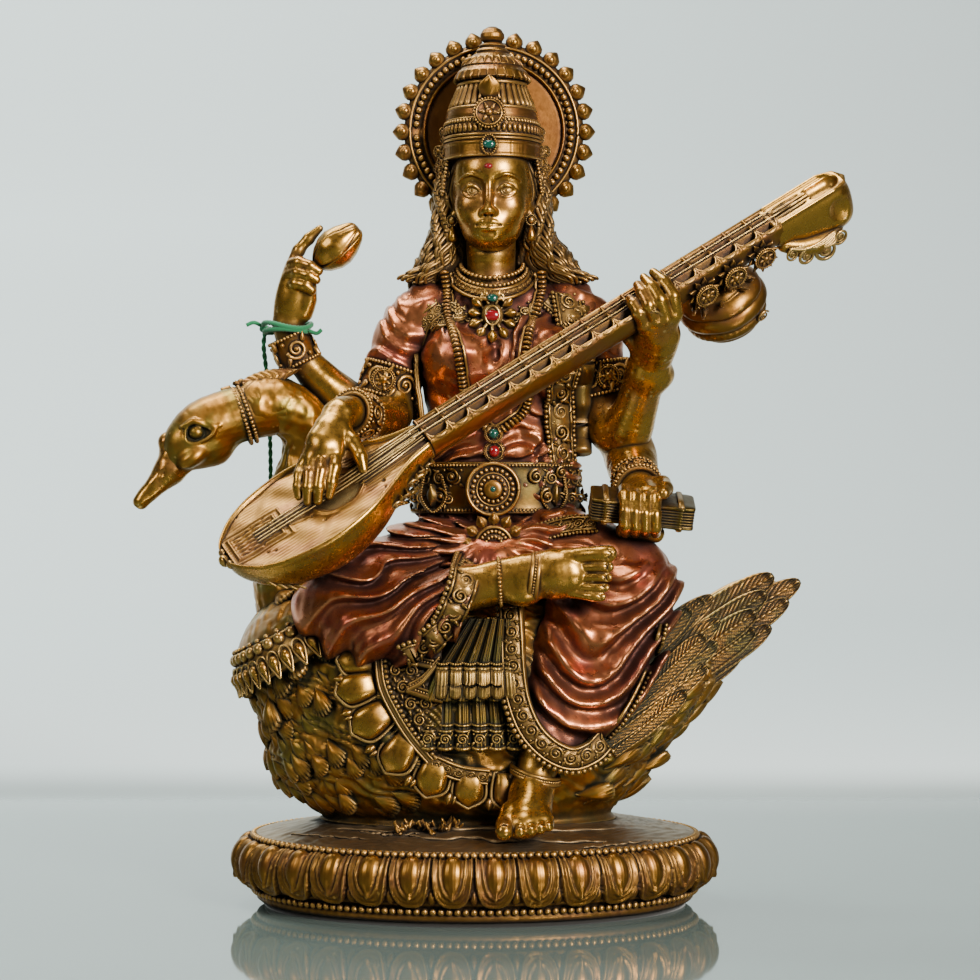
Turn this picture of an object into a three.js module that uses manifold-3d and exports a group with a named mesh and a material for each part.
// A goddess figurine in cold-cast bronze: a four-armed seated figure with a long-necked lute, riding
// side-saddle on a swan that stands on an oval lotus plinth. Millimetres, +Z up, the figure faces -Y,
// and the origin is at the centre of the underside. Castings that meet are cut to one another with a
// small gap, in the order they are added.
import * as THREE from "three";
import { mergeVertices } from "three/addons/utils/BufferGeometryUtils.js";
import Module from "manifold-3d";

const wasm = await Module();
wasm.setup();

// Driving dimensions.
const GAP = 0.3; // clearance between castings that meet
const BASE_HALF_WIDTH = 70.5;
const BASE_HALF_DEPTH = 52;
const RIM_HEIGHT = 20.5; // top of the plinth's upper row of beads
const WATER_RISE = 6.5; // how far the water's dome stands above the rim
const PAD_THICKNESS = 1.2;
const PETALS = 32;
const HALO_RAYS = 28;
const HALO_CENTRE = [5.5, 10, 224.6];
const HALO_RADIUS = 29.7;
const HEAD_CENTRE = [5, -4, 205];
const CROWN_BASE = 216;
const VEENA_CENTRE = [-42.5, -46, 116.5]; // middle of the lute's soundboard
const VEENA_AXIS = new THREE.Vector3(0.841, 0.141, 0.522).normalize(); // towards the pegs
const VEENA_NECK_END = 150; // from the soundboard's middle to where the head begins
const VEENA_HEAD_END = 174;
const THREAD_DIAMETER = 1.5;

const X = new THREE.Vector3(1, 0, 0);
const Y = new THREE.Vector3(0, 1, 0);
const Z = new THREE.Vector3(0, 0, 1);
const BASE_OVAL = BASE_HALF_DEPTH / BASE_HALF_WIDTH;

function finish(color, roughness, metalness) {
  return new THREE.MeshStandardMaterial({ color, roughness, metalness });
}

const materials = {
  bronze: finish(0x8a6530, 0.42, 0.85),
  gold: finish(0xb0853a, 0.35, 0.9),
  copper: finish(0x96513a, 0.38, 0.8),
  brocade: finish(0x7d6030, 0.5, 0.8),
  plumage: finish(0x7c7034, 0.42, 0.85),
  water: finish(0x5e5240, 0.5, 0.7),
  hair: finish(0x6e5028, 0.5, 0.8),
  felt: finish(0x16140f, 0.95, 0),
  thread: finish(0x1c7a48, 0.85, 0),
};

// ---- solids --------------------

// A geometry with its shared vertices merged, holding only positions.
function welded(geometry) {
  const bare = geometry.clone();
  for (const name of Object.keys(bare.attributes)) {
    if (name !== "position") bare.deleteAttribute(name);
  }
  return mergeVertices(bare, 1e-4);
}

function solidOf(geometry) {
  const mesh = welded(geometry);
  const vertProperties = mesh.attributes.position.array;
  const triVerts = new Uint32Array(mesh.index.array);
  return new wasm.Manifold(new wasm.Mesh({ numProp: 3, vertProperties, triVerts }));
}

// The same geometry with every vertex moved outwards, which cuts a seat with clearance into a
// neighbour.
function swollen(geometry, by) {
  const mesh = welded(geometry);
  mesh.computeVertexNormals();
  const { position, normal } = mesh.attributes;
  for (let i = 0; i < position.count; i++) {
    position.setXYZ(
      i,
      position.getX(i) + by * normal.getX(i),
      position.getY(i) + by * normal.getY(i),
      position.getZ(i) + by * normal.getZ(i),
    );
  }
  return mesh;
}

const joined = (geometries) => geometries.map(solidOf).reduce((all, next) => all.add(next));

function geometryOf(solid) {
  const mesh = solid.getMesh();
  const geometry = new THREE.BufferGeometry();
  const vertices = new Float32Array(mesh.vertProperties);
  geometry.setAttribute("position", new THREE.BufferAttribute(vertices, 3));
  geometry.setIndex(new THREE.BufferAttribute(new Uint32Array(mesh.triVerts), 1));
  geometry.computeVertexNormals();
  return geometry;
}

const apart = (a, b) => [0, 1, 2].some((i) => a.min[i] > b.max[i] || b.min[i] > a.max[i]);

// The biggest of the bodies that a cut leaves.
function largest(solid) {
  return solid.decompose().reduce((best, next) => (next.volume() > best.volume() ? next : best));
}

const figurine = new THREE.Group();
const cutters = [];

// Adds a casting made of overlapping primitives, kept inside `within` if given, and cut clear of every
// earlier one.
function cast(name, material, primitives, within = null) {
  let solid = joined(primitives);
  if (within) solid = solid.intersect(joined(within));
  for (const cutter of cutters) {
    if (!apart(cutter.boundingBox(), solid.boundingBox())) solid = solid.subtract(cutter);
  }
  solid = largest(solid);
  const grown = (geometries) => joined(geometries.map((geometry) => swollen(geometry, 1.4 * GAP)));
  cutters.push(within ? grown(primitives).intersect(grown(within)) : grown(primitives));
  const mesh = new THREE.Mesh(geometryOf(solid), materials[material]);
  mesh.name = name;
  figurine.add(mesh);
}

// ---- shapes --------------------

// A sphere drawn out along a smooth line. Each station is [x, y, z, half width, half height]; `up`
// points along the half height, and the round ends reach `cap` of a radius past the first and last
// station. With `along`, every ring is square to that direction, not to the line.
function limb(stations, { sides = 8, rings = 7, up = Y, cap = 0.7, along = null } = {}) {
  const geometry = new THREE.SphereGeometry(1, sides, rings);
  const line = new THREE.CatmullRomCurve3(stations.map(([x, y, z]) => new THREE.Vector3(x, y, z)));
  const sizeAt = (t) => {
    const place = t * (stations.length - 1);
    const before = Math.min(Math.floor(place), stations.length - 2);
    const share = place - before;
    return [3, 4].map((i) => {
      const low = stations[before][i] ?? stations[before][3];
      const high = stations[before + 1][i] ?? stations[before + 1][3];
      return low + (high - low) * share;
    });
  };
  const { position } = geometry.attributes;
  for (let i = 0; i < position.count; i++) {
    const ring = Math.floor(i / (sides + 1));
    const angle = (2 * Math.PI * (i % (sides + 1))) / sides;
    const t = THREE.MathUtils.clamp((ring - 1) / (rings - 2), 0, 1);
    const tangent = along ?? line.getTangent(t);
    const side = new THREE.Vector3().crossVectors(up, tangent).normalize();
    const top = new THREE.Vector3().crossVectors(tangent, side);
    const [halfWidth, halfHeight] = sizeAt(t);
    const atPole = ring === 0 || ring === rings;
    const point = line.getPoint(t);
    const past = (ring === 0 ? -cap : cap) * Math.min(halfWidth, halfHeight);
    if (atPole) point.addScaledVector(tangent, past);
    const reach = atPole ? 0 : 1;
    point.addScaledVector(side, reach * halfWidth * Math.cos(angle));
    point.addScaledVector(top, reach * halfHeight * Math.sin(angle));
    position.setXYZ(i, point.x, point.y, point.z);
  }
  if (solidOf(geometry).volume() < 0) {
    geometry.index.array.reverse();
  }
  return geometry;
}

// A profile of [radius, height] turned about a vertical axis through `centre`, squeezed in depth by
// `oval`.
function turned(profile, centre = [0, 0, 0], segments = 16, oval = 1) {
  const geometry = new THREE.LatheGeometry(profile.map(([r, z]) => new THREE.Vector2(r, z)), segments);
  return geometry.rotateX(Math.PI / 2).scale(1, oval, 1).translate(...centre);
}

function ball(centre, radii, segments = 8) {
  const geometry = new THREE.SphereGeometry(1, segments, Math.round(segments * 0.67));
  return geometry.rotateX(Math.PI / 2).scale(...radii).translate(...centre);
}

function block(centre, size, turn = [0, 0, 0]) {
  const geometry = new THREE.BoxGeometry(...size);
  const rotation = new THREE.Matrix4().makeRotationFromEuler(new THREE.Euler(...turn));
  return geometry.applyMatrix4(rotation).translate(...centre);
}

// A band round a line: a short open cylinder's wall, `radius` at its middle, `width` along the axis.
function band(centre, axis, radius, width, wall, segments = 12) {
  const [inner, outer, half] = [radius - wall / 2, radius + wall / 2, width / 2];
  const profile = [[inner, -half], [outer, -half], [outer, half], [inner, half], [inner, -half]];
  const geometry = new THREE.LatheGeometry(profile.map(([r, z]) => new THREE.Vector2(r, z)), segments);
  const turn = new THREE.Quaternion().setFromUnitVectors(Y, new THREE.Vector3(...axis).normalize());
  return geometry.applyQuaternion(turn).translate(...centre);
}

// An oval bead rim standing on the plinth's wall: half-round section, level, at the given height.
function beadRim(halfWidth, height, size) {
  const section = [[-0.2, -0.5], [0.5, -0.3], [0.5, 0.3], [-0.2, 0.5], [-0.2, -0.5]];
  const profile = section.map(([r, z]) => [halfWidth + r * size, height + z * size]);
  return turned(profile, [0, 0, 0], 36, BASE_OVAL);
}

// A flat leaf-shaped blade from root to tip, with its face towards `facing`.
function blade(root, tip, width, thickness, facing) {
  const [start, end] = [new THREE.Vector3(...root), new THREE.Vector3(...tip)];
  const stations = [0, 0.35, 0.75, 1].map((t, i) => {
    const at = start.clone().lerp(end, t);
    const share = [0.7, 1, 0.85, 0.35][i];
    return [at.x, at.y, at.z, (width / 2) * share, (thickness / 2) * Math.sqrt(share)];
  });
  return limb(stations, { sides: 8, rings: 6, up: new THREE.Vector3(...facing).normalize(), cap: 0.5 });
}

// ---- plinth --------------------

function plinth() {
  cast("base_pad", "felt", [
    turned([[0, 0], [62, 0], [62, PAD_THICKNESS], [0, PAD_THICKNESS]], [0, 0, 0], 36, BASE_OVAL),
  ]);
  const foot = PAD_THICKNESS + GAP;
  const core = [[0, foot], [62.6, foot], [62.6, 18.4], [0, 18.4]];
  cast("base_plinth", "bronze", [turned(core, [0, 0, 0], 36, BASE_OVAL)]);
  cast("lower_bead_rim", "bronze", [beadRim(64, 4.4, 2.2)]);
  cast("upper_bead_rim", "bronze", [beadRim(64, RIM_HEIGHT - 1, 2.4)]);

  const profile = [[63.4, 6.2], [65.4, 6.2], [70.5, 11], [69, 15.4], [63.4, 17.6], [63.4, 6.2]];
  const petals = turned(profile, [0, 0, 0], PETALS * 2, 1);
  const { position } = petals.attributes;
  for (let i = 0; i < position.count; i++) {
    const [x, y] = [position.getX(i), position.getY(i)];
    const radius = Math.hypot(x, y);
    const swell = Math.abs(Math.cos((Math.atan2(y, x) * PETALS) / 2));
    const share = radius > 65 ? 1 + (1.6 * (swell - 1)) / radius : 1;
    position.setXY(i, x * share, y * share * BASE_OVAL);
  }
  cast("lotus_petal_band", "bronze", [petals]);

  const dome = [[0, 18.8], [62.4, 18.8]];
  for (let i = 0; i <= 3; i++) {
    const share = 1 - i / 3;
    dome.push([62.4 * share, RIM_HEIGHT + WATER_RISE * (1 - share ** 2)]);
  }
  cast("water_top", "water", [turned(dome, [0, 0, 0], 36, BASE_OVAL)]);
}

// ---- swan --------------------

// Level ovals of the swan's body: middle x, height, half length and half width.
const SWAN_BODY = [
  [-2, 25.4, 40, 23],
  [-4, 34, 50, 31],
  [-4, 42, 55.5, 34],
  [0, 57, 64, 36.5],
  [0.5, 66, 67, 37],
  [-2, 76, 63.5, 34],
  [-10, 87, 50, 28],
  [-10, 93, 38, 21],
];

// The swan's body, or a shell of it standing `proud` of it.
function swanBody(proud = 0) {
  const stations = SWAN_BODY.map(([x, z, long, wide]) => [x, 0, z, long + proud, wide + proud]);
  return limb(stations, { sides: 18, rings: 9, cap: 0.02, along: Z });
}

function swan() {
  cast("swan_body", "plumage", [swanBody()]);
  cast("swan_neck", "plumage", [
    limb([[-46, 3, 78, 17], [-52, 2, 92, 12.5], [-54, 1, 106, 9.6], [-50.5, 0, 120, 8.2],
      [-47.5, 0, 131, 7.8], [-50, -1, 139, 7.8], [-57, -3, 143.5, 7.8]], { sides: 10, rings: 11 }),
  ]);
  cast("swan_head", "plumage", [
    limb([[-60, -3.5, 143.6, 8], [-68, -5, 140.5, 8.4], [-76, -6, 136, 8.8],
      [-83, -7, 130.6, 7.2]], { sides: 10 }),
  ]);
  cast("swan_bill", "gold", [
    limb([[-85, -7.5, 129.5, 5.2], [-89.5, -8.5, 123.5, 4], [-95, -9.8, 117, 2.8]]),
    ball([-87.2, -8, 133.6], [2.6, 2.6, 2.9], 6),
  ]);
  cast("swan_crest", "gold", [
    blade([-66, -2, 150.5], [-51.5, 1.5, 154], 4.6, 3.4, [0, 0.4, 1]),
    ball([-66.5, -3, 150.4], [3.4, 2.6, 2], 6),
  ]);
  cast("swan_collar", "gold", [
    new THREE.TorusGeometry(23, 4.6, 5, 18).scale(1.04, 1.14, 1).rotateY(-0.5).translate(-45.5, 0, 79),
  ]);
  cast("saddle_cloth", "brocade", [swanBody(2.2)], [block([-19, -28, 58], [42, 32, 46])]);
  cast("swan_wing", "plumage", [
    blade([34, -33, 64], [70, -13, 88], 17, 9, [0.2, -1, 0.3]),
    blade([30, -34, 56], [68, -17, 74], 17, 9, [0.2, -1, 0.2]),
  ]);
  cast("swan_tail", "plumage", [
    blade([50, 4, 66], [86, 2, 94], 15, 9, [0.5, -1, 0.2]),
    blade([52, 6, 64], [94, 7, 92.5], 14, 9, [0.5, -1, 0.2]),
    blade([54, 4, 62], [88, 3, 84], 15, 9, [0.5, -1, 0.2]),
    blade([52, 5, 60], [77, 5, 74], 16, 11, [0.5, -1, 0.2]),
  ]);
}

// ---- seated figure --------------------

function drapery() {
  cast("right_foot", "gold", [
    limb([[0, -40, 92.5, 5.4], [9, -41.5, 94.6, 5.2], [20, -43, 96.6, 5, 6.6],
      [33.5, -43.5, 97.4, 4.4, 7]], { up: Z }),
  ]);
  cast("right_anklet", "bronze", [band([12, -42, 95.2], [1, -0.1, 0.2], 6.4, 2.6, 1.6)]);
  cast("left_foot", "gold", [
    limb([[18, -32, 50, 5.8], [16.4, -33.5, 40, 5.6], [14.2, -39, 30.5, 7, 5.4],
      [12.8, -46, 26, 7.6, 3.2]]),
  ]);
  cast("left_anklet", "bronze", [band([16.6, -33.5, 40.5], [0.25, 0.15, 1], 6.6, 2.2, 1.6)]);
  cast("right_leg_drape", "copper", [
    limb([[-2, -4, 99, 16, 15], [-18, -16, 93, 15, 15], [-33, -26, 88, 12, 13]], { sides: 10, up: Z }),
    limb([[-37, -28, 86, 11, 13], [-20, -33, 84, 11, 12.5],
      [-2, -38.5, 89.5, 8.5, 11.5]], { sides: 10, up: Z }),
  ]);
  cast("left_leg_drape", "copper", [
    limb([[16, -4, 100, 15, 14], [32, -18, 97, 13.5, 13.5],
      [43, -28, 93, 12, 12.5]], { sides: 10, up: Z }),
    limb([[42, -27, 92, 12.5, 12], [35, -30, 76, 17, 13], [28, -30, 60, 15.5, 11],
      [23, -29, 51, 9.5, 8]], { sides: 10 }),
  ]);
  cast("lap_drape", "copper", [ball([6, 2, 102], [31, 21, 13], 12)]);
  cast("front_pleats", "brocade", [
    limb([[3, -33, 80, 8, 4], [1, -36, 66, 12, 4.6], [-1, -37, 52, 14.5, 4.6], [-2, -36, 42, 14.5, 4]],
      { sides: 12, cap: 0.3 }),
  ]);
}

function bust() {
  cast("neck", "gold", [limb([[4.7, 0, 175, 8.4], [4.6, -1, 182, 7.2], [4.6, -1.5, 190, 7.4]])]);
  cast("head", "gold", [
    ball(HEAD_CENTRE, [12.4, 14, 15.5], 12),
    limb([[4.8, -8.5, 196, 9, 8.5], [4.7, -9.5, 192, 6, 6.5]], { rings: 6, cap: 0.5 }),
  ]);
  const [headX, headY] = HEAD_CENTRE;
  cast("crown", "bronze", [
    turned([[0, 0], [13.6, 0], [14, 3.5], [14.8, 8], [14.2, 12.5], [12.6, 15], [11.6, 20.5], [0, 20.5]],
      [headX, headY + 1, CROWN_BASE]),
  ]);
  cast("crown_finial", "bronze", [
    turned([[0, 21], [10.2, 21], [11.2, 23.5], [9.4, 27.2], [5.2, 30.2], [3.4, 32.4], [3.7, 34.4],
      [2.4, 36.6], [0, 37.3]], [headX, headY + 1, CROWN_BASE]),
  ]);
  cast("torso", "copper", [
    limb([[6, 2, 108, 23, 14], [6.4, 1, 120, 22, 13.5], [6.6, 0, 134, 21, 12.5],
      [6.6, -1, 148, 22.5, 14], [6.5, 0, 160, 24, 13.5], [6, 1, 170, 22, 11], [5, 1, 177, 12, 9]],
      { sides: 14, rings: 9, cap: 0.2 }),
    ball([-4.5, -10, 155], [9.5, 9, 9.5]),
    ball([17, -10, 155], [9.5, 9, 9.5]),
  ]);
  cast("right_sleeve", "copper", [
    limb([[-15, 2, 170.5, 9], [-20.5, 1, 163, 9, 9], [-25, 0, 151, 7.6, 7.6]], { cap: 0.5 }),
  ]);
  cast("left_sleeve", "copper", [
    limb([[29, 3, 171, 9], [34, 3, 164, 9, 9], [37, 2, 152, 7.4, 7.6]], { cap: 0.5 }),
  ]);
  cast("shoulder_sash", "brocade", [
    limb([[24, -3, 180, 9, 6], [24.5, -10, 166, 7.5, 7], [21, -13, 150, 7, 7], [21, -12, 134, 6, 6]]),
  ]);
  const choker = new THREE.TorusGeometry(10.5, 2.2, 6, 16).scale(1, 0.92, 1).rotateX(0.35);
  cast("necklace", "gold", [choker.translate(4.8, -1.5, 178.2)]);
  cast("pendant", "gold", [ball([5, -13.6, 164.5], [9.5, 2.6, 9])]);
  cast("waist_belt", "bronze", [
    turned([[17, 112.5], [24.2, 112.5], [24.6, 118], [23.8, 127.5], [17, 127.5], [17, 112.5]],
      [6.4, 1, 0], 20, 0.64),
  ]);
  cast("belt_medallion", "bronze", [ball([5.4, -15.6, 119], [8.6, 2.6, 8.6])]);
  cast("hair_right", "hair", [
    limb([[-8.5, 2, 214, 4, 5], [-9.5, 3, 200, 5, 7], [-11, 4, 188, 6.5, 7],
      [-18, 3, 178, 5, 5]], { rings: 10 }),
  ]);
  cast("hair_left", "hair", [
    limb([[18.5, 2, 214, 4, 5], [19.5, 3, 200, 5, 7], [22, 4, 188, 6.5, 7],
      [31, 4, 178, 5, 5]], { rings: 10 }),
  ]);
}

function halo() {
  const teeth = new THREE.Shape();
  for (let ray = 0; ray < HALO_RAYS; ray++) {
    for (const [turn, reach] of [[-0.5, 0.82], [0, 1]]) {
      const angle = ((ray + turn) / HALO_RAYS) * 2 * Math.PI + Math.PI / 2;
      const [x, y] = [Math.cos(angle) * HALO_RADIUS * reach, Math.sin(angle) * HALO_RADIUS * reach];
      if (ray === 0 && turn === -0.5) teeth.moveTo(x, y);
      else teeth.lineTo(x, y);
    }
  }
  teeth.closePath();
  const discRadius = 19.6;
  const hole = new THREE.Path().absarc(0, 0, discRadius + GAP, 0, 2 * Math.PI, true);
  teeth.holes.push(hole);
  const rim = new THREE.ExtrudeGeometry(teeth, { depth: 5, bevelEnabled: false, curveSegments: 6 });
  cast("halo_rim", "bronze", [rim.rotateX(Math.PI / 2).translate(0, 2.5, 0).translate(...HALO_CENTRE)]);
  const disc = new THREE.CylinderGeometry(discRadius, discRadius, 2.6, 24);
  cast("halo_disc", "copper", [disc.translate(HALO_CENTRE[0], HALO_CENTRE[1] + 1, HALO_CENTRE[2])]);
}

function arms() {
  cast("right_rear_bracelet", "bronze", [band([-54, 0.8, 160.8], [-0.45, 0, 0.9], 5.6, 6, 1.8)]);
  cast("right_rear_hand", "gold", [
    limb([[-54.8, 0, 165.5, 4.8, 4], [-54, -1.5, 173, 5.2, 4], [-51.5, -2.5, 181, 5.6, 3.8],
      [-47, -3.5, 188, 3.6, 3]]),
  ]);
  cast("right_rear_forearm", "gold", [
    limb([[-30, 3, 143.5, 6.4], [-37, 3, 145, 6.2], [-46, 2, 152.5, 5.6], [-54.6, 0.6, 162.4, 4.2]]),
  ]);
  cast("right_front_bracelet", "bronze", [band([-35.4, -31.5, 141.4], [-0.6, -0.85, 0.1], 5.8, 6, 1.8)]);
  cast("right_front_hand", "gold", [
    limb([[-37.5, -35, 141, 5.2, 4.2], [-39.5, -40.5, 136, 6.8, 4.4], [-40.5, -45.5, 128.5, 7, 3.6],
      [-41, -48, 122.4, 5.4, 2.6]]),
  ]);
  cast("right_front_forearm", "gold", [
    limb([[-25, -3, 146, 6.6], [-25, -6.5, 139.5, 6.6], [-29, -17, 139, 6],
      [-35.8, -32, 141.2, 4.4]], { rings: 10, up: X }),
  ]);
  cast("left_front_hand", "gold", [
    limb([[48, -16, 151.5, 5.6, 4.8], [50, -21, 161, 7, 4.8], [51, -26, 172, 7, 4.4],
      [50.4, -31, 178, 5, 3]]),
  ]);
  cast("left_front_forearm", "gold", [
    limb([[36.5, 0, 148, 6.6], [39, -2.5, 138.5, 7.4], [44, -7, 140, 7.2],
      [47.6, -15, 150, 5.4]], { rings: 10 }),
  ]);
  cast("left_rear_bracelet", "bronze", [band([46, -18, 120.8], [0.15, -0.9, -0.4], 6.6, 5, 1.8)]);
  cast("left_rear_hand", "gold", [
    limb([[46.4, -21, 120, 5.6, 4.6], [47, -27, 118, 7.2, 3.6], [48, -34, 112, 7.4, 7.4]], { up: Z }),
  ]);
  cast("left_rear_forearm", "gold", [
    limb([[41, 2, 140, 7], [44, -1, 131, 8], [45.4, -10, 125, 7.2], [46, -19, 120.6, 5.2]], { up: X }),
  ]);
  cast("lotus_bud", "gold", [
    limb([[-45.5, -4, 183.8, 3], [-41, -4.6, 188, 5.6], [-37, -5.2, 191.6, 4.8],
      [-33.8, -5.8, 194.6, 2]]),
  ]);
}

// ---- lute --------------------

// The lute's own axes: along the strings, across the soundboard, and out of it.
const outward = new THREE.Vector3(0, -0.55, 0.83);
outward.addScaledVector(VEENA_AXIS, -outward.dot(VEENA_AXIS)).normalize();
const across = new THREE.Vector3().crossVectors(outward, VEENA_AXIS);
const onVeena = new THREE.Matrix4().makeBasis(VEENA_AXIS, across, outward).setPosition(...VEENA_CENTRE);

// Half widths of the soundboard at stations along the strings.
const BOARD = [[-28.5, 5], [-24, 12], [-14, 17], [-2, 18.4], [10, 16], [20, 11], [27, 7], [33.6, 5.6]];

function lute() {
  const hull = BOARD.map(([t, half]) => [t, 0, -0.6, half, half * (t > 20 ? 1.1 : 1)]);
  const below = block([0, 0, -20 - GAP - 1.6], [80, 60, 40]);
  const bowl = limb(hull, { sides: 16, rings: 10, up: Z, cap: 0.35 });
  cast("veena_bowl", "gold", [bowl.applyMatrix4(onVeena)], [below.applyMatrix4(onVeena)]);

  const outline = new THREE.Shape();
  const rim = [...BOARD, ...BOARD.map(([t, half]) => [t, -half]).reverse()];
  rim.forEach(([t, half], i) => (i ? outline.lineTo(t, half) : outline.moveTo(t, half)));
  outline.closePath();
  const board = new THREE.ExtrudeGeometry(outline, { depth: 1.6, bevelEnabled: false });
  cast("veena_soundboard", "gold", [board.translate(0, 0, -1.6).applyMatrix4(onVeena)]);

  const middle = (34 + VEENA_NECK_END) / 2;
  const neck = block([middle, 0, -2.6], [VEENA_NECK_END - 34, 10.5, 9]);
  cast("veena_neck", "gold", [neck.applyMatrix4(onVeena)]);

  const start = VEENA_NECK_END + GAP;
  const head = [
    block([(start + VEENA_HEAD_END - 5) / 2, 0, -2.2], [VEENA_HEAD_END - 5 - start, 11.4, 8.6]),
    ball([VEENA_HEAD_END - 6, 0, -2.2], [6, 5.7, 5.2]),
    limb([[start + 1, -2, -7.6, 3], [start + 8, -3, -9.6, 4.4],
      [start + 16, -2, -7.6, 3.4]], { rings: 6 }),
  ];
  cast("veena_headstock", "gold", head.map((shape) => shape.applyMatrix4(onVeena)));
  cast("veena_gourd", "bronze", [ball([129, 3, -17.5], [12, 12, 11], 12).applyMatrix4(onVeena)]);
}

function manuscript() {
  cast("manuscript", "brocade", [block([46.5, -30.5, 114.4], [29, 12.5, 6.6], [0.35, 0.11, 0])]);
}

// A green thread tied round the raised wrist, with one end hanging behind the swan's neck.
const THREAD_TAIL = [
  [-61.4, 4.8, 165], [-61.9, 6.6, 161.5], [-61.4, 9.4, 155], [-60.8, 11.6, 147], [-60.6, 12.6, 138],
  [-60.4, 13, 128], [-60.4, 13.4, 118], [-60.6, 13.8, 108], [-60.8, 14, 99],
];

function thread() {
  cast("thread_loop", "thread", [
    new THREE.TorusGeometry(6.4, 1.1, 6, 14).scale(1, 0.9, 1).translate(-54.4, 0.2, 166.4),
  ]);
  const section = new THREE.Shape().absarc(0, 0, THREAD_DIAMETER / 2, 0, 2 * Math.PI);
  const route = new THREE.CatmullRomCurve3(THREAD_TAIL.map((point) => new THREE.Vector3(...point)));
  const tail = new THREE.ExtrudeGeometry(section, { extrudePath: route, steps: 20, curveSegments: 4 });
  cast("thread_tail", "thread", [tail]);
}

plinth();
swan();
lute();
manuscript();
arms();
drapery();
bust();
halo();
thread();

export default figurine;
